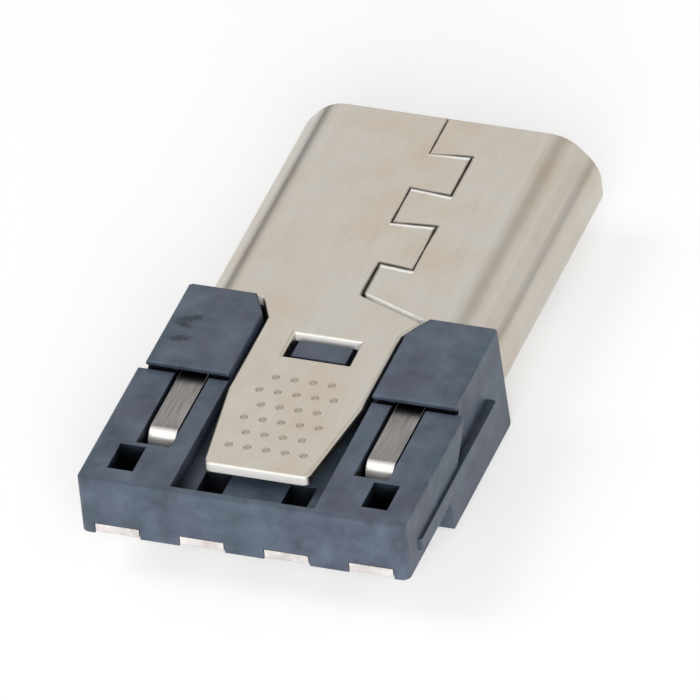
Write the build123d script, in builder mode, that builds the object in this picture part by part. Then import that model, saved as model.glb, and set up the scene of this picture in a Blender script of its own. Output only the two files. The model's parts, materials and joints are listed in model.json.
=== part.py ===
import os
from math import atan2, degrees

from build123d import *

# Micro plug for a thin data cable, solder type, before it gets its overmould
# X runs across, +Y points out of the mating end, +Z is the seam side of the shell.
# The origin is under the middle of the plug, on the face of the wide band it lies on.

# Overall sizes, mm
length = 13.6
height = 2.58
block_length = 6.7

# Shell
shell_width = 6.85
shell_height = 1.8
side_wall_height = 1.05
sheet = 0.25
bevel_run = 0.7
wide_corner_radius = 0.4
bend_radius = 0.9
rim_round = 0.08
cheek_proud = 0.1
skirt_length = 1.2
skirt_wall = 0.175

# Seam down the middle of the shell: its steps as shares of its length from the rim
seam_gap = 0.03
seam_exit_gap = 0.14
seam_steps = [0.2, 0.41, 0.595, 0.83]
seam_runs = [0.0, 0.95, 0.0, 1.0, 0.22]
tooth_flare = 0.04
seam_exit_rise = 0.58
seam_exit_fall = 0.09
seam_exit_x = 1.95

# Tail of the shell
tail_width = 3.04
tail_tip_width = 2.36
tail_tip = 1.07
tail_taper_start = 3.6
tail_corner = 0.2
tail_edge_round = 0.08
window_width = 1.5
window_length = 0.82
window_rear = 4.9
dot_pitch = 0.42
dot_row_pitch = 0.48
dot_radius = 0.09
dot_depth = 0.03
dot_sides = 8
dot_taper = 40
dot_rows = 6
dots_per_row = 5
first_dot_row = 1.75

# Slots for the hooks and the two pressed dents, on the wide side
slot_gap = 0.085
slot_length = 2.8
slot_from_rim = 0.85
slot_corner = 0.12
dent_spacing = 2.13
dent_end_from_rim = 4.15
dent_length = 2.8
dent_radius = 0.32
dent_depth = 0.12

# Block
side_draft = 0.11
shelf_length = 2.97
terrace_length = 3.93
terrace_drop = 0.18
shelf_level = 0.98
rear_step = 0.08
shoulder_slope = 1.1
tail_side_gap = 0.1
channel_depth = 0.42
channel_end_wall = 0.2
flare_width = 0.34
flare_length = 0.62
shadow_gap_height = 0.15
shadow_gap_rise = 0.07
shadow_gap_depth = 0.12
shadow_gap_lip = 0.05
lug_drop = 0.1
lug_clearance = 0.14
side_rib_proud = 0.07
side_rib_level = 1.24
side_rib_thickness = 0.28
side_rib_start = 0.75
side_rib_to_front = 1.1
band_front_round = 0.15
band_edge_chamfer = 0.06
rear_corner_round = 0.18
top_edge_round = 0.05

# Core holes
core_width = 0.58
core_length = 0.85
core_from_rear = 0.92

# Solder pads
pad_width = 0.98
pad_side_wall = 0.34
pad_drop = 0.05
pad_thickness = 0.2
pad_root = 0.15
pocket_width = 0.75
pocket_length = 0.57
pocket_depth = 0.4
dome_pitch_x = 0.56
dome_pitch_y = 0.52
dome_radius = 0.12
dome_height = 0.045
dome_sides = 8
dome_taper = 50
first_dome = 0.76

# Contacts
contact_width = 0.3
contact_thickness = 0.2
contact_bump = 0.2
contact_bump_length = 1.2
contact_bump_radius = 0.6
contact_bend_radius = 0.15
contact_tip_from_rim = 0.6
contact_bump_from_rim = 1.4
drop_past_shelf = 1.13
blind_end = 0.9
link_width = 0.7

# Tongue
tongue_thickness = 0.62
tongue_side = 0.5
tongue_from_rim = 0.35
cavity_depth = 5.0
tongue_tip_round = 0.12

# Latch springs
strip_width = 0.45
base_width = 0.62
base_past_cheek = 0.15
strip_thickness = 0.2
strip_inset = 0.67
strip_drop = 0.06
strip_rear = 2.0
strip_rear_radius = 0.2
strip_bend_radius = 0.4
strip_foot = 0.3
bend_past_cheek = 0.47
bend_to_front = 0.3
hook_height = 0.35
hook_from_rim = 1.92
hook_length = 0.96
hook_rear_ramp = 0.45
hook_front_ramp = 0.3
hook_radius = 0.15
hook_nose_from_rim = 1.15
hook_nose_rise = 0.12
pivot_to_cheek = 0.53
groove_start = 1.45
groove_depth = 0.45

# Clearances
fit_gap = 0.02
spring_gap = 0.075
tongue_to_strip = 0.355

# Widths that follow
seam_face_width = shell_width - 2 * bevel_run
block_width = shell_width + 2 * skirt_wall
cheek_width = block_width - 2 * side_draft
rear_width = block_width + 2 * rear_step
rib_span = rear_width + 2 * side_rib_proud
pad_pitch = (rear_width - 2 * pad_side_wall - pad_width) / 3
hook_spacing = shell_width - 2 * strip_inset - strip_width
base_spacing = hook_spacing + strip_width - base_width
slot_width = strip_width + 2 * slot_gap
tongue_width = hook_spacing - strip_width - 2 * tongue_to_strip
contact_pitch = (tongue_width - 2 * tongue_side - contact_width) / 4
channel_width = tail_width + 2 * tail_side_gap

# Levels and places that follow
rear_y = -length / 2
rim_y = length / 2
block_front_y = rear_y + block_length
band_rear_y = rear_y + shelf_length
cheek_rear_y = rear_y + terrace_length
seam_face_z = height - cheek_proud
wide_face_z = seam_face_z - shell_height
terrace_z = height - terrace_drop
bevel_z = wide_face_z + side_wall_height
channel_floor_z = terrace_z - channel_depth
pad_face_z = shelf_level + pad_drop
pad_back_z = pad_face_z + pad_thickness
inner_wide_z = wide_face_z + sheet
tongue_top_z = seam_face_z - sheet - fit_gap
tongue_face_z = tongue_top_z - tongue_thickness
cavity_floor_y = rim_y - cavity_depth
tongue_tip_y = rim_y - tongue_from_rim
contact_z = tongue_face_z + contact_thickness / 2
contact_drop_y = band_rear_y + drop_past_shelf
pad_front_y = band_rear_y + pad_root
strip_z = terrace_z - strip_drop - strip_thickness / 2
strip_low_z = inner_wide_z + spring_gap + strip_thickness / 2
hook_z = wide_face_z - hook_height + strip_thickness / 2
hook_front_y = rim_y - hook_from_rim
hook_rear_y = hook_front_y - hook_length
pivot_y = cheek_rear_y - pivot_to_cheek
groove_floor_z = terrace_z - groove_depth

# Pressed in, the hooks lie just inside the wide face
press_travel = hook_height * 1.05
press_angle = degrees(atan2(press_travel, (hook_front_y + hook_rear_y) / 2 - pivot_y))

# Each latch spring is a strip with a wider base: spacing, width, and whether it is the base
strip_parts = [
    (hook_spacing, strip_width, False),
    (base_spacing, base_width, True),
]


def across(y):
    """Plane across the plug at y, with X to the right and Z up."""
    return Plane.XZ.offset(-y)


def along(x):
    """Plane along the plug at x, with Y to the right and Z up."""
    return Plane.YZ.offset(x)


def shell_outline():
    """D-shaped outside of the shell, as a flat sketch."""
    half_wide = shell_width / 2
    half_narrow = seam_face_width / 2
    with BuildSketch() as outline:
        with BuildLine():
            Polyline(
                (-half_wide, wide_face_z),
                (half_wide, wide_face_z),
                (half_wide, bevel_z),
                (half_narrow, seam_face_z),
                (-half_narrow, seam_face_z),
                (-half_wide, bevel_z),
                close=True,
            )
        make_face()
        fillet(vertices().group_by(Axis.Y)[0], radius=wide_corner_radius)
        upper = vertices().group_by(Axis.Y)[-2:]
        fillet(upper[0] + upper[1], radius=bend_radius)
    return outline.sketch


def dent_place(side):
    """Where a dent's former lies: its axis sinks towards the rear end of the dent."""
    tilt = degrees(atan2(dent_depth, dent_length))
    axis_z = wide_face_z + dent_depth - dent_radius
    return Location((side * dent_spacing / 2, rim_y - dent_end_from_rim, axis_z), (-90 - tilt, 0, 0))


def contact_path(has_pad, slack=0.0):
    """Centre line of a contact in the Y-Z plane, from its tip to its pad or its blind end."""
    bump_y = rim_y - contact_bump_from_rim
    points = [
        (rim_y - contact_tip_from_rim + slack, contact_z),
        (bump_y, contact_z - contact_bump),
        (bump_y - contact_bump_length, contact_z),
    ]
    radii = [contact_bump_radius, contact_bump_radius]
    if has_pad:
        points.append((contact_drop_y, contact_z))
        points.append((contact_drop_y, pad_face_z + pad_thickness / 2 - slack))
        radii.append(contact_bend_radius)
    else:
        points.append((contact_drop_y + blind_end - slack, contact_z))
    return points, radii


def contact_strip(has_pad, slack=0.0):
    """Side view of a contact's beam, grown by slack for the pocket it lies in."""
    path, bends = contact_path(has_pad, slack)
    with BuildSketch() as strip:
        with BuildLine():
            FilletPolyline(*path, radius=bends)
        trace(line_width=contact_thickness + 2 * slack)
    return strip.sketch


def contact_foot(beam_x, pad_x, slack=0.0):
    """Plan view of the link that fans out from a beam, with the solder pad behind it."""
    link_front_y = contact_drop_y + contact_thickness / 2
    with BuildSketch() as foot:
        with BuildLine():
            Polyline(
                (beam_x - contact_width / 2, link_front_y),
                (beam_x + contact_width / 2, link_front_y),
                (pad_x + link_width / 2, pad_front_y),
                (pad_x - link_width / 2, pad_front_y),
                close=True,
            )
        make_face()
        with Locations((pad_x, rear_y)):
            Rectangle(pad_width, pad_front_y - rear_y, align=(Align.CENTER, Align.MIN))
        if slack:
            offset(amount=slack, kind=Kind.INTERSECTION)
    return foot.sketch


def latch_strip(is_base, slack=0.0):
    """Side view of a latch spring or of its base alone, measured from its hinge."""
    nose_z = strip_low_z + hook_nose_rise
    points = [
        (rear_y + strip_rear, strip_z - strip_foot - slack),
        (rear_y + strip_rear, strip_z),
        (cheek_rear_y + bend_past_cheek, strip_z),
        (block_front_y - bend_to_front, strip_low_z),
        (hook_rear_y - hook_rear_ramp, strip_low_z),
        (hook_rear_y, hook_z),
        (hook_front_y, hook_z),
        (hook_front_y + hook_front_ramp, nose_z),
        (rim_y - hook_nose_from_rim + slack, nose_z),
    ]
    bends = [strip_rear_radius] + 2 * [strip_bend_radius] + 4 * [hook_radius]
    if is_base:
        points = points[:2] + [(cheek_rear_y + base_past_cheek + slack, strip_z)]
        bends = bends[:1]
    with BuildSketch() as strip:
        with BuildLine():
            FilletPolyline(*[(y - pivot_y, z - strip_z) for y, z in points], radius=bends)
        trace(line_width=strip_thickness + 2 * slack)
    return strip.sketch


# Latch springs: formed strips, hooks facing down
latch_springs = []
for side, name in ((-1, "latch_spring_left"), (1, "latch_spring_right")):
    with BuildPart() as latch_spring:
        for spacing, width, is_base in strip_parts:
            with BuildSketch(along(side * spacing / 2)):
                with Locations((pivot_y, strip_z)):
                    add(latch_strip(is_base))
            extrude(amount=width / 2, both=True)
    latch_spring.part.label = name
    latch_springs.append(latch_spring)

# Contacts: numbers 1, 2, 3 and 5 end in solder pads, number 4 ends inside the block
pad_of_contact = {1: -1.5, 2: -0.5, 3: 0.5, 4: None, 5: 1.5}
contacts = []
for number, pad_place in pad_of_contact.items():
    beam_x = (number - 3) * contact_pitch
    with BuildPart() as contact:
        with BuildSketch(along(beam_x)):
            add(contact_strip(pad_place is not None))
        extrude(amount=contact_width / 2, both=True)
        if pad_place is not None:
            pad_x = pad_place * pad_pitch
            with BuildSketch(Plane.XY.offset(pad_face_z)):
                add(contact_foot(beam_x, pad_x))
            extrude(amount=pad_thickness)
            # Little domes that help the solder to hold
            with BuildSketch(Plane.XY.offset(pad_face_z)):
                with Locations((pad_x, rear_y + first_dome + dome_pitch_y)):
                    with GridLocations(dome_pitch_x, dome_pitch_y, 2, 3):
                        RegularPolygon(dome_radius, dome_sides)
            extrude(amount=-dome_height, taper=dome_taper)
    contact.part.label = f"contact_{number}"
    contacts.append(contact)

# Shell: folded nickel-plated sheet
with BuildPart() as shell:
    with BuildSketch(across(rim_y)):
        add(shell_outline())
        offset(amount=-sheet, mode=Mode.SUBTRACT)
    extrude(amount=length - block_length + skirt_length)
    fillet(faces().sort_by(Axis.Y)[-1].outer_wire().edges(), radius=rim_round)
    # Behind the cheeks' front only the wide wall and the low sides carry on into the block
    with BuildSketch(Plane.XY.offset(bevel_z)):
        with Locations((0, block_front_y + fit_gap)):
            Rectangle(shell_width, skirt_length + fit_gap, align=(Align.CENTER, Align.MAX))
    extrude(amount=shell_height, mode=Mode.SUBTRACT)
    # Tail over the block, in the plane of the seam face, flared where it leaves the tube
    with BuildSketch(Plane.XY.offset(seam_face_z)):
        with BuildLine():
            tail_half = tail_width / 2
            tip_half = tail_tip_width / 2
            Polyline(
                (-tail_half - flare_width, block_front_y + 2 * fit_gap),
                (tail_half + flare_width, block_front_y + 2 * fit_gap),
                (tail_half, block_front_y - flare_length),
                (tail_half, rear_y + tail_taper_start),
                (tip_half, rear_y + tail_tip),
                (-tip_half, rear_y + tail_tip),
                (-tail_half, rear_y + tail_taper_start),
                (-tail_half, block_front_y - flare_length),
                close=True,
            )
        make_face()
        fillet(vertices().group_by(Axis.Y)[0], radius=tail_corner)
        with Locations((0, rear_y + window_rear)):
            Rectangle(window_width, window_length, align=(Align.CENTER, Align.MIN), mode=Mode.SUBTRACT)
    extrude(amount=-sheet)
    seam_face_edges = edges().group_by(Axis.Z)[-1]
    fillet(
        seam_face_edges.filter_by_position(Axis.Y, rear_y, block_front_y - fit_gap),
        radius=tail_edge_round,
    )
    # Interlocked seam, from the rim to the root of the tail
    with BuildSketch(Plane.XY.offset(seam_face_z)):
        with BuildLine():
            seam_end_y = block_front_y + seam_exit_rise
            seam_points = [(seam_runs[0], rim_y + seam_gap)]
            for x_before, x_after, step in zip(seam_runs, seam_runs[1:], seam_steps):
                step_y = rim_y - step * (rim_y - seam_end_y)
                seam_points.append((x_before, step_y - tooth_flare))
                seam_points.append((x_after, step_y + tooth_flare))
            seam_points.append((seam_runs[-1], seam_end_y))
            Polyline(*seam_points)
        trace(line_width=seam_gap)
        with BuildLine():
            Line((seam_runs[-1], seam_end_y), (seam_exit_x, block_front_y - seam_exit_fall))
        trace(line_width=seam_exit_gap)
    extrude(amount=-sheet, mode=Mode.SUBTRACT)
    # Slots for the hooks
    with BuildSketch(Plane.XY.offset(wide_face_z)):
        with Locations((0, rim_y - slot_from_rim - slot_length / 2)):
            with GridLocations(hook_spacing, 1, 2, 1):
                Rectangle(slot_width, slot_length)
        fillet(vertices(), radius=slot_corner)
    extrude(amount=sheet, mode=Mode.SUBTRACT)
    # Pressed dents: bulged on the inside first, then hollowed on the outside
    with Locations(*[dent_place(side) for side in (-1, 1)]):
        Cylinder(dent_radius + sheet, dent_length, align=(Align.CENTER, Align.CENTER, Align.MIN))
    with BuildSketch(Plane.XY.offset(wide_face_z)):
        Rectangle(dent_spacing * 2, 2 * length)
    extrude(amount=-shell_height, mode=Mode.SUBTRACT)
    with Locations(*[dent_place(side) for side in (-1, 1)]):
        Cylinder(
            dent_radius,
            dent_length,
            align=(Align.CENTER, Align.CENTER, Align.MIN),
            mode=Mode.SUBTRACT,
        )
    # Punched dots on the tail, every other row shifted by half a pitch
    with BuildSketch(Plane.XY.offset(seam_face_z)):
        for row in range(dot_rows):
            dots = dots_per_row - row % 2
            with Locations((0, rear_y + first_dot_row + row * dot_row_pitch)):
                with GridLocations(dot_pitch, 1, dots, 1):
                    RegularPolygon(dot_radius, dot_sides)
    extrude(amount=-dot_depth, taper=dot_taper, mode=Mode.SUBTRACT)
shell.part.label = "shell"

# Housing: one moulding, from the block at the rear to the tongue inside the shell
with BuildPart() as housing:
    # Block with drafted sides, cut to its stepped side view
    with BuildSketch(across(block_front_y)):
        with BuildLine():
            Polyline(
                (-block_width / 2, 0),
                (block_width / 2, 0),
                (cheek_width / 2, height),
                (-cheek_width / 2, height),
                close=True,
            )
        make_face()
    extrude(amount=block_length)
    with BuildSketch(along(0)):
        with BuildLine():
            Polyline(
                (rear_y, shelf_level),
                (band_rear_y, shelf_level),
                (band_rear_y, 0),
                (block_front_y, 0),
                (block_front_y, height),
                (cheek_rear_y, height),
                (cheek_rear_y, terrace_z),
                (rear_y, terrace_z),
                close=True,
            )
        make_face()
    extrude(amount=block_width, both=True, mode=Mode.INTERSECT)
    fillet(edges().filter_by(Axis.X).group_by(Axis.Z)[0].sort_by(Axis.Y)[-1], radius=band_front_round)
    chamfer(edges().group_by(Axis.Z)[0].sort_by(Axis.Y)[:-1], length=band_edge_chamfer)
    # Wider rear part, its front edge slanting from the terrace down to the side ribs
    with BuildSketch(along(0)):
        with BuildLine():
            Polyline(
                (rear_y, shelf_level),
                (cheek_rear_y - shoulder_slope, shelf_level),
                (cheek_rear_y, terrace_z),
                (rear_y, terrace_z),
                close=True,
            )
        make_face()
    extrude(amount=rear_width / 2, both=True)
    fillet(edges().filter_by(Axis.Z).group_by(Axis.Y)[0], radius=rear_corner_round)
    terrace_edges = faces().filter_by(Axis.Z).group_by(Axis.Z)[-2].edges()
    fillet(
        terrace_edges.filter_by_position(Axis.Y, rear_y, cheek_rear_y - top_edge_round),
        radius=top_edge_round,
    )
    # Thin rib along each side
    with BuildSketch(Plane.XY.offset(side_rib_level)):
        with Locations((0, rear_y + side_rib_start)):
            Rectangle(
                rib_span,
                block_length - side_rib_to_front - side_rib_start,
                align=(Align.CENTER, Align.MIN),
            )
        fillet(vertices(), radius=side_rib_proud)
    extrude(amount=side_rib_thickness)
    # Channel for the shell's tail, flared at the front, with cheeks left on both sides of it
    with BuildSketch(Plane.XY.offset(channel_floor_z)):
        with BuildLine():
            channel_half = channel_width / 2
            Polyline(
                (-channel_half, rear_y + channel_end_wall),
                (channel_half, rear_y + channel_end_wall),
                (channel_half, block_front_y - flare_length),
                (channel_half + flare_width, block_front_y),
                (-channel_half - flare_width, block_front_y),
                (-channel_half, block_front_y - flare_length),
                close=True,
            )
        make_face()
    extrude(amount=height, mode=Mode.SUBTRACT)
    fillet(faces().filter_by(Axis.Z).group_by(Axis.Z)[-1].edges(), radius=top_edge_round)
    # Shadow gap along the foot of the cheeks' rear wall
    with BuildSketch(along(0)):
        with Locations((cheek_rear_y + shadow_gap_depth, terrace_z + shadow_gap_rise)):
            Rectangle(
                shadow_gap_depth + shadow_gap_lip,
                shadow_gap_height,
                align=(Align.MAX, Align.MAX),
            )
    extrude(amount=rear_width, both=True, mode=Mode.SUBTRACT)
    # Filler and tongue inside the shell
    with BuildSketch(across(cavity_floor_y)):
        add(shell_outline())
        offset(amount=-sheet - fit_gap, mode=Mode.REPLACE)
    extrude(amount=cavity_floor_y - block_front_y + fit_gap)
    with BuildSketch(across(tongue_tip_y)):
        with Locations((0, tongue_top_z)):
            Rectangle(tongue_width, tongue_thickness, align=(Align.CENTER, Align.MAX))
    extrude(amount=tongue_tip_y - cavity_floor_y + fit_gap)
    # Slot in the block's front for the shell's skirt
    with BuildSketch(across(block_front_y)):
        add(shell_outline())
        offset(amount=fit_gap, mode=Mode.REPLACE)
        offset(shell_outline(), amount=-sheet - fit_gap, mode=Mode.SUBTRACT)
        with Locations((0, bevel_z + fit_gap)):
            Rectangle(2 * shell_width, shell_height, align=(Align.CENTER, Align.MIN), mode=Mode.SUBTRACT)
    extrude(amount=skirt_length + fit_gap, mode=Mode.SUBTRACT)
    # Lug that stands in the tail's window
    with BuildSketch(Plane.XY.offset(channel_floor_z)):
        with Locations((0, rear_y + window_rear + window_length / 2)):
            Rectangle(window_width - 2 * lug_clearance, window_length - 2 * lug_clearance)
    extrude(amount=seam_face_z - lug_drop - channel_floor_z)
    # Rounded edges of the tongue's tip
    fillet(edges().filter_by(Axis.X).group_by(Axis.Y)[-1], radius=tongue_tip_round)
    # Hollows over the pads, the pads' own recesses and the pockets between them
    with Locations((0, rear_y + core_from_rear, pad_back_z)):
        with GridLocations(pad_pitch, 1, 4, 1):
            Box(
                core_width,
                core_length,
                height,
                align=(Align.CENTER, Align.CENTER, Align.MIN),
                mode=Mode.SUBTRACT,
            )
    with BuildSketch(Plane.XY.offset(shelf_level)):
        with Locations((0, rear_y)):
            with GridLocations(pad_pitch, 1, 4, 1):
                Rectangle(
                    pad_width + 2 * fit_gap,
                    2 * shelf_length,
                    align=(Align.CENTER, Align.CENTER),
                )
    extrude(amount=pad_drop + fit_gap, mode=Mode.SUBTRACT)
    with BuildSketch(Plane.XY.offset(shelf_level)):
        with Locations((0, band_rear_y - pocket_length / 2)):
            with GridLocations(pad_pitch, 1, 3, 1):
                Rectangle(pocket_width, pocket_length)
    extrude(amount=pocket_depth, mode=Mode.SUBTRACT)
    # Room for the contacts
    for number, pad_place in pad_of_contact.items():
        beam_x = (number - 3) * contact_pitch
        with BuildSketch(along(beam_x)):
            add(contact_strip(pad_place is not None, fit_gap))
        extrude(amount=contact_width / 2 + fit_gap, both=True, mode=Mode.SUBTRACT)
        with Locations((beam_x, cavity_floor_y, tongue_face_z - fit_gap)):
            Box(
                contact_width + 2 * fit_gap,
                cavity_depth - contact_tip_from_rim + fit_gap,
                contact_thickness + 2 * fit_gap,
                align=(Align.CENTER, Align.MIN, Align.MIN),
                mode=Mode.SUBTRACT,
            )
        if pad_place is not None:
            with BuildSketch(Plane.XY.offset(pad_face_z - fit_gap)):
                add(contact_foot(beam_x, pad_place * pad_pitch, fit_gap))
            extrude(amount=pad_thickness + 2 * fit_gap, mode=Mode.SUBTRACT)
    # Room for the latch springs, at rest and pressed in
    for side in (-1, 1):
        for angle in (0, press_angle):
            for spacing, width, is_base in strip_parts:
                with BuildSketch(along(side * spacing / 2)):
                    with Locations((pivot_y, strip_z)):
                        add(latch_strip(is_base, spring_gap), rotation=angle)
                extrude(amount=width / 2 + spring_gap, both=True, mode=Mode.SUBTRACT)
        with BuildSketch(Plane.XY.offset(groove_floor_z)):
            with Locations((side * base_spacing / 2, rear_y + groove_start)):
                Rectangle(
                    base_width + 2 * spring_gap,
                    terrace_length - groove_start,
                    align=(Align.CENTER, Align.MIN),
                )
        extrude(amount=height, mode=Mode.SUBTRACT)
housing.part.label = "housing"

os.makedirs("parts", exist_ok=True)
for piece in [housing, shell] + contacts + latch_springs:
    export_step(piece.part, f"parts/{piece.part.label}.step")
    print(piece.part.label, round(piece.part.volume, 3), len(piece.part.solids()))
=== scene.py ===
import json
import math

import bpy
from mathutils import Matrix, Vector


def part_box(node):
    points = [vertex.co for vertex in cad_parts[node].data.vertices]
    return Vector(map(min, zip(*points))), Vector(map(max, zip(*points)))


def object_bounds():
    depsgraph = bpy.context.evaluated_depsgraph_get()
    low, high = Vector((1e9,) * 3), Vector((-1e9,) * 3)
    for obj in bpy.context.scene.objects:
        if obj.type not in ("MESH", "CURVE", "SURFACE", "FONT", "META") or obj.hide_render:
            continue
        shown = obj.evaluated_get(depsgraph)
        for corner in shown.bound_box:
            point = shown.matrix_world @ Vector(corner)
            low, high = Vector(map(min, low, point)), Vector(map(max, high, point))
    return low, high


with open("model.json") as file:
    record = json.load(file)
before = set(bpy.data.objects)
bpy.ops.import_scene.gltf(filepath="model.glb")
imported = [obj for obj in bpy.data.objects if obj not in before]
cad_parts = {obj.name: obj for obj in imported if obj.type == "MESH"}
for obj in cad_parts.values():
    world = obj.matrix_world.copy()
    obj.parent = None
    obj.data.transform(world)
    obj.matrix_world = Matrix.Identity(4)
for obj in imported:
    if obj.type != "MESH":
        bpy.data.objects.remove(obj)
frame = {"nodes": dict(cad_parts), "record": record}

mmInMetre = 1000.0
raySamples = 6  # rays that a Bevel or an Ambient Occlusion node casts
under, over, mixed = 6, 7, 2  # a colour Mix node's two colour inputs, and its colour output

cadLow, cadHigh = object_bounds()
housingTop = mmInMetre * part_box("housing")[1].z
shellTop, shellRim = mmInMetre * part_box("shell")[1].z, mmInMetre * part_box("shell")[1].y
print("frame loaded, size in mm:", [round(mmInMetre * side, 2) for side in cadHigh - cadLow])


def hexColour(code):
    # An sRGB hex value as the linear colour that a node expects
    channels = [int(code[i:i + 2], 16) / 255 for i in (1, 3, 5)]
    linear = [c / 12.92 if c <= 0.04045 else ((c + 0.055) / 1.055) ** 2.4 for c in channels]
    return (*linear, 1.0)


white = hexColour("#FFFFFF")


def addNode(tree, kind, settings=None, inputs=None):
    # An input is given a value, a socket, or a node, which stands for its first output
    node = tree.nodes.new("ShaderNode" + kind)
    for name, value in (settings or {}).items():
        setattr(node, name, value)
    for name, value in (inputs or {}).items():
        if isinstance(value, bpy.types.Node):
            value = value.outputs[0]
        if isinstance(value, bpy.types.NodeSocket):
            tree.links.new(value, node.inputs[name])
        else:
            node.inputs[name].default_value = value
    return node


def newTree(name):
    # A material with an empty tree, and the place on the piece in millimetres
    material = bpy.data.materials.new(name)
    material.use_nodes = True
    tree = material.node_tree
    tree.nodes.clear()
    place = addNode(tree, "TexCoord")
    mm = addNode(tree, "VectorMath", {"operation": "SCALE"}, {
        "Vector": place.outputs["Object"], "Scale": mmInMetre})
    return material, tree, mm


def streaksAlong(tree, mm, sizeMm):
    # Noise drawn out along the plug, as rolling and drawing leave it
    stretched = addNode(tree, "Mapping", None, {
        "Vector": mm, "Scale": [1 / side for side in sizeMm]})
    return addNode(tree, "TexNoise", None, {
        "Vector": stretched, "Scale": 1.0, "Detail": 3.0, "Roughness": 0.55})


def facesAlong(tree, ends):
    # A mask that is 1 where the surface faces along the plug
    place = addNode(tree, "TexCoord")
    facing = addNode(tree, "SeparateXYZ", None, {"Vector": place.outputs["Normal"]})
    along = addNode(tree, "Math", {"operation": "ABSOLUTE"}, {0: facing.outputs["Y"]})
    return addNode(tree, "MapRange", None, {"Value": along, **ends})


def softNormal(tree, radiusMm):
    # The normal, turned round the edges as a small radius would turn it
    return addNode(tree, "Bevel", {"samples": raySamples}, {"Radius": radiusMm / mmInMetre})


def onEdges(tree, soft):
    # A mask that is 1 where the softened normal has left the true one
    turned = {"From Min": 0.985, "From Max": 0.8}  # cosines of the angle between them
    plain = addNode(tree, "NewGeometry")
    sameWay = addNode(tree, "VectorMath", {"operation": "DOT_PRODUCT"}, {
        0: soft, 1: plain.outputs["Normal"]})
    return addNode(tree, "MapRange", None, {"Value": sameWay.outputs["Value"], **turned})


def layered(tree, colours, masks):
    # The base colour, with each named colour laid over it where its mask is 1
    colour = hexColour(colours["base"])
    for name, mask in masks.items():
        colour = addNode(tree, "Mix", {"data_type": "RGBA"}, {
            "Factor": mask, under: colour, over: hexColour(colours[name])}).outputs[mixed]
    return colour


def closeTree(tree, relief, bumpMm, soft, surface):
    # Fine relief over the softened normals, then the shader and the output
    bump = addNode(tree, "Bump", None, {
        "Height": relief, "Distance": bumpMm / mmInMetre, "Strength": 1.0, "Normal": soft})
    shader = addNode(tree, "BsdfPrincipled", None, {**surface, "Normal": bump})
    addNode(tree, "OutputMaterial", None, {"Surface": shader})


# Housing: glass-filled polyester, injection moulded and dyed slate blue.
# To the eye: dull grey-blue in cloudy patches, a soft sheen, paler worn edges, a few dark scuffs.
plastic = {
    "base": "#323B4A",
    "paler": "#586475",
    "violet": "#4B4A5F",
    "teal": "#3B525D",
    "scuff": "#131B2B",
    "edge": "#7A8593",
    # painted shade, laid into holes and gaps
    "creviceShade": "#05070B",
    "cloudMm": 0.75,
    "cloudy": {"From Min": 0.3, "From Max": 0.7},
    "hueMm": 1.3,
    "toViolet": {"From Min": 0.52, "From Max": 0.72, "To Max": 0.6},
    "toTeal": {"From Min": 0.48, "From Max": 0.3, "To Max": 0.5},
    "grainMm": 0.09,  # the moulding's real grain is finer and wouldn't show
    "scuffs": [
        {"placeMm": (-3.02, -1.27), "turn": 24, "halfSizeMm": (0.32, 0.12, 1.0)},
        {"placeMm": (-3.14, -1.5), "turn": -18, "halfSizeMm": (0.25, 0.1, 1.0)},
        {"placeMm": (-3.06, -1.98), "turn": 16, "halfSizeMm": (0.29, 0.11, 1.0)},
    ],
    "scuffRagged": 2.4,
    "scuffed": {"From Min": 2.4, "From Max": 1.65},
    "edgeMm": 0.035,
    "edgeGrain": {"From Min": 0.3, "From Max": 0.75},
    "creviceMm": 1.2,
    "shadeInCrevices": {"From Min": 0.72, "From Max": 0.42},
    "roughness": {"To Min": 0.4, "To Max": 0.58},
    "sheen": {"To Min": 0.5, "To Max": 0.08},
    "ior": 1.57,
    "bumpMm": 0.004,
}


def scuffMask(tree, mm, grain):
    # Short dark scuffs on top of the left cheek, ragged at their ends
    scuffed = 0.0
    for scuff in plastic["scuffs"]:
        fromSpot = addNode(tree, "VectorMath", {"operation": "SUBTRACT"}, {
            0: mm, 1: (*scuff["placeMm"], housingTop)})
        turned = addNode(tree, "Mapping", {"vector_type": "TEXTURE"}, {
            "Vector": fromSpot, "Rotation": (0, 0, math.radians(scuff["turn"])),
            "Scale": scuff["halfSizeMm"]})
        spread = addNode(tree, "VectorMath", {"operation": "LENGTH"}, {0: turned})
        ragged = addNode(tree, "Math", {"operation": "MULTIPLY_ADD"}, {
            0: grain, 1: plastic["scuffRagged"], 2: spread.outputs["Value"]})
        inside = addNode(tree, "MapRange", None, {"Value": ragged, **plastic["scuffed"]})
        scuffed = addNode(tree, "Math", {"operation": "MAXIMUM"}, {0: scuffed, 1: inside})
    return scuffed


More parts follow.
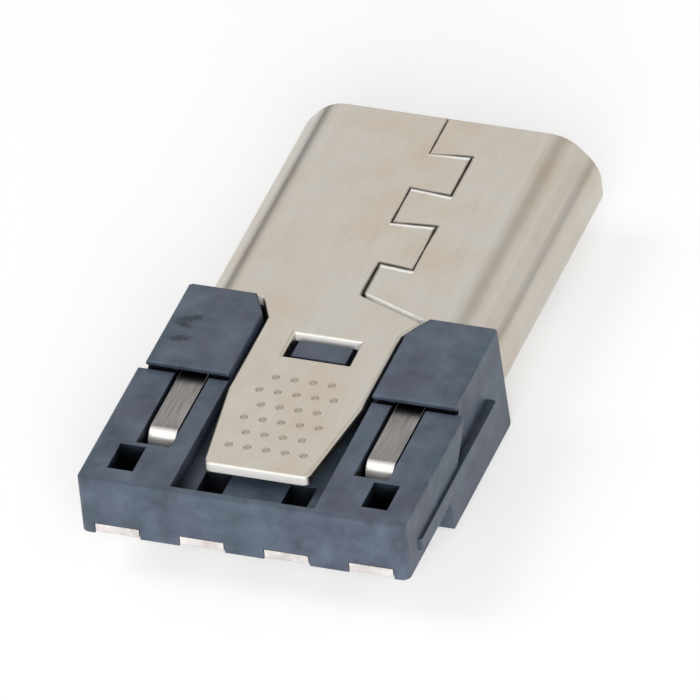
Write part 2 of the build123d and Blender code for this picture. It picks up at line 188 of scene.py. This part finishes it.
def mouldedPolyester():
    material, tree, mm = newTree("moulded slate polyester")
    clouds = addNode(tree, "TexNoise", None, {
        "Vector": mm, "Scale": 1 / plastic["cloudMm"], "Detail": 4.0, "Roughness": 0.6})
    cloudy = addNode(tree, "MapRange", None, {"Value": clouds, **plastic["cloudy"]})
    hues = addNode(tree, "TexNoise", None, {
        "Vector": mm, "Scale": 1 / plastic["hueMm"], "Detail": 2.0, "Roughness": 0.5})
    toViolet = addNode(tree, "MapRange", None, {"Value": hues, **plastic["toViolet"]})
    toTeal = addNode(tree, "MapRange", None, {"Value": hues, **plastic["toTeal"]})
    grain = addNode(tree, "TexNoise", None, {
        "Vector": mm, "Scale": 1 / plastic["grainMm"], "Detail": 4.0, "Roughness": 0.65})
    # The grain breaks up the wear along the edges
    soft = softNormal(tree, plastic["edgeMm"])
    edgeGrain = addNode(tree, "MapRange", None, {"Value": grain, **plastic["edgeGrain"]})
    worn = addNode(tree, "Math", {"operation": "MULTIPLY"}, {0: onEdges(tree, soft), 1: edgeGrain})
    # Painted shade: deep holes and gaps are coloured nearly black, and their sheen is turned down
    openness = addNode(tree, "AmbientOcclusion", {"samples": raySamples, "only_local": True}, {
        "Distance": plastic["creviceMm"] / mmInMetre})
    shadeInCrevices = addNode(tree, "MapRange", None, {
        "Value": openness.outputs["AO"], **plastic["shadeInCrevices"]})
    colour = layered(tree, plastic, {
        "paler": cloudy, "violet": toViolet, "teal": toTeal, "scuff": scuffMask(tree, mm, grain),
        "edge": worn, "creviceShade": shadeInCrevices})
    rough = addNode(tree, "MapRange", None, {"Value": grain, **plastic["roughness"]})
    sheen = addNode(tree, "MapRange", None, {"Value": shadeInCrevices, **plastic["sheen"]})
    closeTree(tree, grain, plastic["bumpMm"], soft, {
        "Base Color": colour, "Roughness": rough, "IOR": plastic["ior"],
        "Specular IOR Level": sheen})
    return material


# Shell: cold-rolled strip, blanked, folded and plated with satin nickel.
# To the eye: warm pale grey in soft patches, faint streaks along the rolling direction, bright
# sheared edges, and a seam with painted shade beside it and a painted highlight at each step
# across the sheet.
nickel = {
    "base": "#CAC3B8",
    "warmer": "#C8BCAC",
    "cooler": "#CBC7C0",
    "drawn": "#A89E91",
    # pale bare metal, also used for the painted highlights at the seam's steps
    "bareAndHighlight": "#FFFDF8",
    # painted shade in the floors of the punched dots
    "dotShade": "#B2A99C",
    # painted shade beside the seam
    "paintedSeamShade": "#665D52",
    "patchMm": 1.7,
    "toWarm": {"From Min": 0.48, "From Max": 0.68},
    "toCool": {"From Min": 0.48, "From Max": 0.32},
    "streakMm": (0.035, 1.6, 0.035),  # real rolling lines are finer and wouldn't show
    "streaked": {"From Min": 0.5, "From Max": 0.72, "To Max": 0.15},
    "sheared": {"From Min": 0.6, "From Max": 0.85},
    "edgeMm": 0.03,
    "dotPlaceMm": (0.0, -3.85),  # the middle of the field of dots, and its half size
    "dotReachMm": (1.1, 1.45),
    "dotDepthMm": (0.002, 0.008),  # the painted shade comes in over this depth under the shell's top
    "seamSteps": [0.2, 0.41, 0.595, 0.83],  # shares of its length from the rim, as in part.py
    "seamRunsMm": [0.0, 0.95, 0.0, 1.0, 0.22],
    "seamFlareMm": 0.04,
    "seamEndMm": 0.48,
    "seamDepthMm": (0.48, 0.38),  # and the seam's marks end over this one
    "seamUneven": 0.14,
    # how far the painted shade reaches from the seam
    "seamShadeMm": (0.012, 0.062),
    # where the painted highlights lie behind each step, and how wide they are
    "seamHighlightDropMm": 0.075,
    "seamHighlightMm": (0.018, 0.05),
    "roughness": {"To Min": 0.23, "To Max": 0.39},
    "cutRoughness": 0.6,
    "cutMetallic": 0.25,
    "bumpMm": 0.0008,
}


def seamLine():
    # The line that part.py cuts through the sheet, from the rim to where the seam leaves the tube
    runs, flare, end = nickel["seamRunsMm"], nickel["seamFlareMm"], nickel["seamEndMm"]
    points = [(runs[0], shellRim, 0)]
    for before, after, share in zip(runs, runs[1:], nickel["seamSteps"]):
        step = shellRim - share * (shellRim - end)
        points += [(before, step - flare, 0), (after, step + flare, 0)]
    return points + [(runs[-1], end, 0)]


def awayFrom(tree, flat, start, finish):
    # Distance in millimetres to the straight line between two points
    run = Vector(finish) - Vector(start)
    way = run.normalized()
    fromStart = addNode(tree, "VectorMath", {"operation": "SUBTRACT"}, {0: flat, 1: start})
    along = addNode(tree, "VectorMath", {"operation": "DOT_PRODUCT"}, {0: fromStart, 1: way})
    held = addNode(tree, "Clamp", None, {
        "Value": along.outputs["Value"], "Min": 0.0, "Max": run.length})
    nearest = addNode(tree, "VectorMath", {"operation": "SCALE"}, {"Vector": way, "Scale": held})
    gap = addNode(tree, "VectorMath", {"operation": "DISTANCE"}, {0: fromStart, 1: nearest})
    return gap.outputs["Value"]


def besideSeam(tree, mm, unevenness):
    # Two masks: painted shade along the whole seam, and a painted highlight at each step across
    # the sheet
    flat = addNode(tree, "VectorMath", {"operation": "MULTIPLY"}, {0: mm, 1: (1, 1, 0)})
    where = addNode(tree, "SeparateXYZ", None, {"Vector": mm})
    lowest, highest = [shellTop - depth for depth in nickel["seamDepthMm"]]
    onTop = addNode(tree, "MapRange", None, {
        "Value": where.outputs["Z"], "From Min": lowest, "From Max": highest})
    points = seamLine()
    drop = Vector((0, -nickel["seamHighlightDropMm"], 0))
    seamHighlights = [(Vector(a) + drop, Vector(b) + drop) for a, b in zip(points[1::2], points[2::2])]
    whole = list(zip(points, points[1:]))
    middle = nickel["seamUneven"] / 2
    masks = []
    for lines, (near, far) in ((whole, nickel["seamShadeMm"]), (seamHighlights, nickel["seamHighlightMm"])):
        closest = 1.0
        for start, finish in lines:
            closest = addNode(tree, "Math", {"operation": "MINIMUM"}, {
                0: closest, 1: awayFrom(tree, flat, start, finish)})
        uneven = addNode(tree, "Math", {"operation": "MULTIPLY_ADD"}, {
            0: unevenness, 1: nickel["seamUneven"], 2: closest})
        beside = addNode(tree, "MapRange", None, {
            "Value": uneven, "From Min": far + middle, "From Max": near + middle})
        masks.append(addNode(tree, "Math", {"operation": "MULTIPLY"}, {0: beside, 1: onTop}))
    return masks


def overDots(tree, mm):
    # Two masks: the field of punched dots on the tail, and the floors of the dots alone, which get
    # painted shade
    where = addNode(tree, "SeparateXYZ", None, {"Vector": mm})
    field = 1.0
    for axis, middle, reach in zip("XY", nickel["dotPlaceMm"], nickel["dotReachMm"]):
        within = addNode(tree, "Math", {"operation": "COMPARE"}, {
            0: where.outputs[axis], 1: middle, 2: reach})
        field = addNode(tree, "Math", {"operation": "MULTIPLY"}, {0: field, 1: within})
    highest, lowest = [shellTop - depth for depth in nickel["dotDepthMm"]]
    sunk = addNode(tree, "MapRange", None, {
        "Value": where.outputs["Z"], "From Min": highest, "From Max": lowest})
    return field, addNode(tree, "Math", {"operation": "MULTIPLY"}, {0: field, 1: sunk})


def satinNickel():
    material, tree, mm = newTree("satin nickel plate on rolled steel")
    streaks = streaksAlong(tree, mm, nickel["streakMm"])
    streaked = addNode(tree, "MapRange", None, {"Value": streaks, **nickel["streaked"]})
    patches = addNode(tree, "TexNoise", None, {
        "Vector": mm, "Scale": 1 / nickel["patchMm"], "Detail": 4.0, "Roughness": 0.6})
    toWarm = addNode(tree, "MapRange", None, {"Value": patches, **nickel["toWarm"]})
    toCool = addNode(tree, "MapRange", None, {"Value": patches, **nickel["toCool"]})
    # Sheared ends and worn edges are bare, but not round the dots, whose floors get painted shade
    # instead
    soft = softNormal(tree, nickel["edgeMm"])
    sheared = facesAlong(tree, nickel["sheared"])
    bare = addNode(tree, "Math", {"operation": "MAXIMUM"}, {0: sheared, 1: onEdges(tree, soft)})
    dotField, dotFloorShade = overDots(tree, mm)
    offDots = addNode(tree, "Math", {"operation": "SUBTRACT"}, {0: 1.0, 1: dotField})
    bareThere = addNode(tree, "Math", {"operation": "MULTIPLY"}, {0: bare, 1: offDots})
    # Painted shade beside the seam and painted highlights at its steps; the highlights share the
    # pale colour of bare metal
    seamShadeMask, seamHighlights = besideSeam(tree, mm, patches)
    bareAndHighlight = addNode(tree, "Math", {"operation": "MAXIMUM"}, {0: bareThere, 1: seamHighlights})
    colour = layered(tree, nickel, {
        "warmer": toWarm, "cooler": toCool, "drawn": streaked, "bareAndHighlight": bareAndHighlight, "dotShade": dotFloorShade,
        "paintedSeamShade": seamShadeMask})
    # Torn metal scatters light from all sides, unlike the smooth plate
    satin = addNode(tree, "MapRange", None, {"Value": streaks, **nickel["roughness"]})
    rough = addNode(tree, "Mix", None, {"Factor": sheared, 2: satin, 3: nickel["cutRoughness"]})
    metallic = addNode(tree, "MapRange", None, {
        "Value": bareAndHighlight, "To Min": 1.0, "To Max": nickel["cutMetallic"]})
    closeTree(tree, streaks, nickel["bumpMm"], soft, {
        "Base Color": colour, "Metallic": metallic, "Roughness": rough})
    return material


# Contacts: phosphor bronze, stamped, then tinned where the wires are soldered.
# To the eye: bright cool white metal, slightly wavy from the melted tin.
tin = {
    "base": "#FAF4F3",
    "duller": "#DDD7D4",
    "waveMm": 0.35,
    "dull": {"From Min": 0.4, "From Max": 0.7},
    "edgeMm": 0.03,
    "roughness": {"To Min": 0.24, "To Max": 0.4},
    "bumpMm": 0.006,
}


def brightTin():
    material, tree, mm = newTree("bright tin on stamped bronze")
    waves = addNode(tree, "TexNoise", None, {
        "Vector": mm, "Scale": 1 / tin["waveMm"], "Detail": 3.0, "Roughness": 0.5})
    dull = addNode(tree, "MapRange", None, {"Value": waves, **tin["dull"]})
    rough = addNode(tree, "MapRange", None, {"Value": waves, **tin["roughness"]})
    closeTree(tree, waves, tin["bumpMm"], softNormal(tree, tin["edgeMm"]), {
        "Base Color": layered(tree, tin, {"duller": dull}), "Metallic": 1.0, "Roughness": rough})
    return material


# Latch springs: cold-drawn spring strip with a nickel flash.
# To the eye: darker and pinker than the shell, drawn streaks along it, and a painted highlight
# where it bends and along its edges.
strip = {
    "base": "#9B9694",
    "darker": "#777371",
    # painted highlight colour for the bends and edges
    "edge": "#FFFCF8",
    "streakMm": (0.03, 0.9, 0.03),  # real drawing lines are finer too
    "streaked": {"From Min": 0.35, "From Max": 0.7},
    "bent": {"From Min": 0.15, "From Max": 0.5},
    "bendMetallic": 0.5,
    "edgeMm": 0.03,
    "roughness": {"To Min": 0.22, "To Max": 0.38},
    "bumpMm": 0.0015,
}


def springStrip():
    material, tree, mm = newTree("nickel-flashed spring strip")
    streaks = streaksAlong(tree, mm, strip["streakMm"])
    streaked = addNode(tree, "MapRange", None, {"Value": streaks, **strip["streaked"]})
    # Painted highlight on the bends and edges; only at the bends does the strip face along the
    # plug
    soft = softNormal(tree, strip["edgeMm"])
    paintedHighlight = addNode(tree, "Math", {"operation": "MAXIMUM"}, {
        0: facesAlong(tree, strip["bent"]), 1: onEdges(tree, soft)})
    rough = addNode(tree, "MapRange", None, {"Value": streaks, **strip["roughness"]})
    metallic = addNode(tree, "MapRange", None, {
        "Value": paintedHighlight, "To Min": 1.0, "To Max": strip["bendMetallic"]})
    closeTree(tree, streaks, strip["bumpMm"], soft, {
        "Base Color": layered(tree, strip, {"darker": streaked, "edge": paintedHighlight}),
        "Metallic": metallic, "Roughness": rough})
    return material


finishOf = {"slate_plastic": mouldedPolyester(), "nickel_sheet": satinNickel(),
            "tinned_contact": brightTin(), "spring_steel": springStrip()}
for part in frame["record"]["subparts"]:
    mesh = frame["nodes"][part["node"]].data
    mesh.materials.clear()
    mesh.materials.append(finishOf[part["material_slot"]])
print("finishes given to", len(frame["nodes"]), "pieces")


# Floor: matt white card, as in a light tent
card = {
    "colour": "#FAFAF9",
    "size": 0.6,
    "drop": 0.00001,
    "fibreMm": 0.5,
    "roughness": {"To Min": 0.85, "To Max": 0.95},
    "sheen": 0.1,
    "whiteShare": 0.3,
    "whiteStrength": 1.53,
}


def paleFloor():
    # Seen by the camera or in a mirror the card is part white light, and it keeps a light shadow
    material, tree, mm = newTree("matt white card")
    fibres = addNode(tree, "TexNoise", None, {
        "Vector": mm, "Scale": 1 / card["fibreMm"], "Detail": 3.0})
    rough = addNode(tree, "MapRange", None, {"Value": fibres, **card["roughness"]})
    paper = addNode(tree, "BsdfPrincipled", None, {
        "Base Color": hexColour(card["colour"]), "Roughness": rough,
        "Specular IOR Level": card["sheen"]})
    glow = addNode(tree, "Emission", None, {"Color": white, "Strength": card["whiteStrength"]})
    seen = addNode(tree, "LightPath")
    either = addNode(tree, "Math", {"operation": "MAXIMUM"}, {
        0: seen.outputs["Is Camera Ray"], 1: seen.outputs["Is Glossy Ray"]})
    share = addNode(tree, "Math", {"operation": "MULTIPLY"}, {0: either, 1: card["whiteShare"]})
    both = addNode(tree, "MixShader", None, {"Fac": share, 1: paper, 2: glow})
    addNode(tree, "OutputMaterial", None, {"Surface": both})
    bpy.ops.mesh.primitive_plane_add(size=card["size"], location=(0, 0, -card["drop"]))
    floor = bpy.context.object
    floor.name = "floor"
    floor.data.materials.append(material)


# Studio: plain soft light on everything, and for the metal a white room to mirror
studio = {
    "lightStrength": 0.38,
    "horizonColour": "#3A3A38",
    "horizonFade": {"From Min": 0.0, "From Max": 0.2},
    "leftColour": "#070707",
    "leftRise": 0.12,
    "leftward": {"From Min": -0.25, "From Max": -0.6},
    "gapColour": "#CFCBC4",
    "gapSide": 0.12,
    "gapFade": {"From Min": 0.34, "From Max": 0.05},
    "screenWay": (0.1, -0.86, 0.5),
    "screenLight": {"From Min": 0.55, "From Max": 0.95, "To Min": 1.0, "To Max": 1.45},
}


def mirroredRoom(tree):
    # White screens over a dark horizon, with a greyer gap between two tall screens
    smooth = {"interpolation_type": "SMOOTHSTEP"}
    direction = addNode(tree, "TexCoord").outputs["Generated"]
    toward = addNode(tree, "SeparateXYZ", None, {"Vector": direction})
    # On the left the horizon is darkest and stands highest
    leftward = addNode(tree, "MapRange", smooth, {
        "Value": toward.outputs["X"], **studio["leftward"]})
    height = addNode(tree, "Math", {"operation": "MULTIPLY_ADD"}, {
        0: leftward, 1: -studio["leftRise"], 2: toward.outputs["Z"]})
    rising = addNode(tree, "MapRange", smooth, {"Value": height, **studio["horizonFade"]})
    horizon = addNode(tree, "Mix", {"data_type": "RGBA"}, {
        "Factor": leftward, under: hexColour(studio["horizonColour"]),
        over: hexColour(studio["leftColour"])})
    room = addNode(tree, "Mix", {"data_type": "RGBA"}, {
        "Factor": rising, under: horizon.outputs[mixed], over: white})
    sideways = addNode(tree, "Math", {"operation": "SUBTRACT"}, {
        0: toward.outputs["X"], 1: studio["gapSide"]})
    offGap = addNode(tree, "Math", {"operation": "ABSOLUTE"}, {0: sideways})
    inGap = addNode(tree, "MapRange", smooth, {"Value": offGap, **studio["gapFade"]})
    screens = addNode(tree, "Mix", {"data_type": "RGBA", "blend_type": "MULTIPLY"}, {
        "Factor": inGap, under: room.outputs[mixed], over: hexColour(studio["gapColour"])})
    # The screen off the plug's rear end is the brightest thing that the metal mirrors
    atScreen = addNode(tree, "VectorMath", {"operation": "DOT_PRODUCT"}, {
        0: direction, 1: Vector(studio["screenWay"]).normalized()})
    strength = addNode(tree, "MapRange", smooth, {
        "Value": atScreen.outputs["Value"], **studio["screenLight"]})
    return addNode(tree, "Background", None, {
        "Color": screens.outputs[mixed], "Strength": strength})


def skyLight():
    world = bpy.data.worlds.new("studio")
    bpy.context.scene.world = world
    world.use_nodes = True
    tree = world.node_tree
    tree.nodes.clear()
    seen = addNode(tree, "LightPath")
    soft = addNode(tree, "Background", None, {
        "Color": white, "Strength": studio["lightStrength"]})
    backdrop = addNode(tree, "Background", None, {"Color": white, "Strength": 1.0})
    glossy = addNode(tree, "MixShader", None, {
        "Fac": seen.outputs["Is Glossy Ray"], 1: soft, 2: mirroredRoom(tree)})
    both = addNode(tree, "MixShader", None, {
        "Fac": seen.outputs["Is Camera Ray"], 1: glossy, 2: backdrop})
    addNode(tree, "OutputWorld", None, {"Surface": both})


# Lamps: a key from the upper left and a broad fill from the plug's rear end
lamps = {
    "key lamp": {"place": (-0.22, -0.02, 0.26), "size": 0.2, "watts": 0.24},
    "fill lamp": {"place": (0.1, -0.26, 0.12), "size": 0.24, "watts": 0.8},
}


def softLamp(name, settings):
    # Aimed at the plug. The metal mirrors the room instead, so that a lamp leaves no blown spot
    lamp = bpy.data.lights.new(name, "AREA")
    lamp.shape = "DISK"
    lamp.size = settings["size"]
    lamp.energy = settings["watts"]
    holder = bpy.data.objects.new(name, lamp)
    bpy.context.collection.objects.link(holder)
    holder.location = settings["place"]
    holder.rotation_euler = (-Vector(settings["place"])).to_track_quat("-Z", "Y").to_euler()
    holder.visible_glossy = False


# Camera: aimed at the plug's middle from the photograph's side and height, with its tilt and a
# longer lens that fills the frame
view = {
    "azimuth": 23.08,
    "elevation": 37.78,
    "roll": -6.05,
    "distance": 0.3529,
    "lensMm": 850.0,
    "sensorMm": 36.0,
    "nearest": 0.01,
    "farthest": 5.0,
}


def photoCamera():
    azimuth, elevation = math.radians(view["azimuth"]), math.radians(view["elevation"])
    back = Vector((math.sin(azimuth) * math.cos(elevation),
                   -math.cos(azimuth) * math.cos(elevation), math.sin(elevation)))
    lens = bpy.data.cameras.new("camera")
    lens.lens = view["lensMm"]
    lens.sensor_width = view["sensorMm"]
    lens.clip_start, lens.clip_end = view["nearest"], view["farthest"]
    camera = bpy.data.objects.new("camera", lens)
    bpy.context.collection.objects.link(camera)
    tilt = Matrix.Rotation(math.radians(view["roll"]), 3, "Z")
    turned = (-back).to_track_quat("-Z", "Y").to_matrix() @ tilt
    place = (cadLow + cadHigh) / 2 + back * view["distance"]
    camera.matrix_world = Matrix.Translation(place) @ turned.to_4x4()
    bpy.context.scene.camera = camera


paleFloor()
skyLight()
for name, settings in lamps.items():
    softLamp(name, settings)
photoCamera()
bpy.context.scene.view_settings.view_transform = "Standard"
print("floor, light and camera ready")
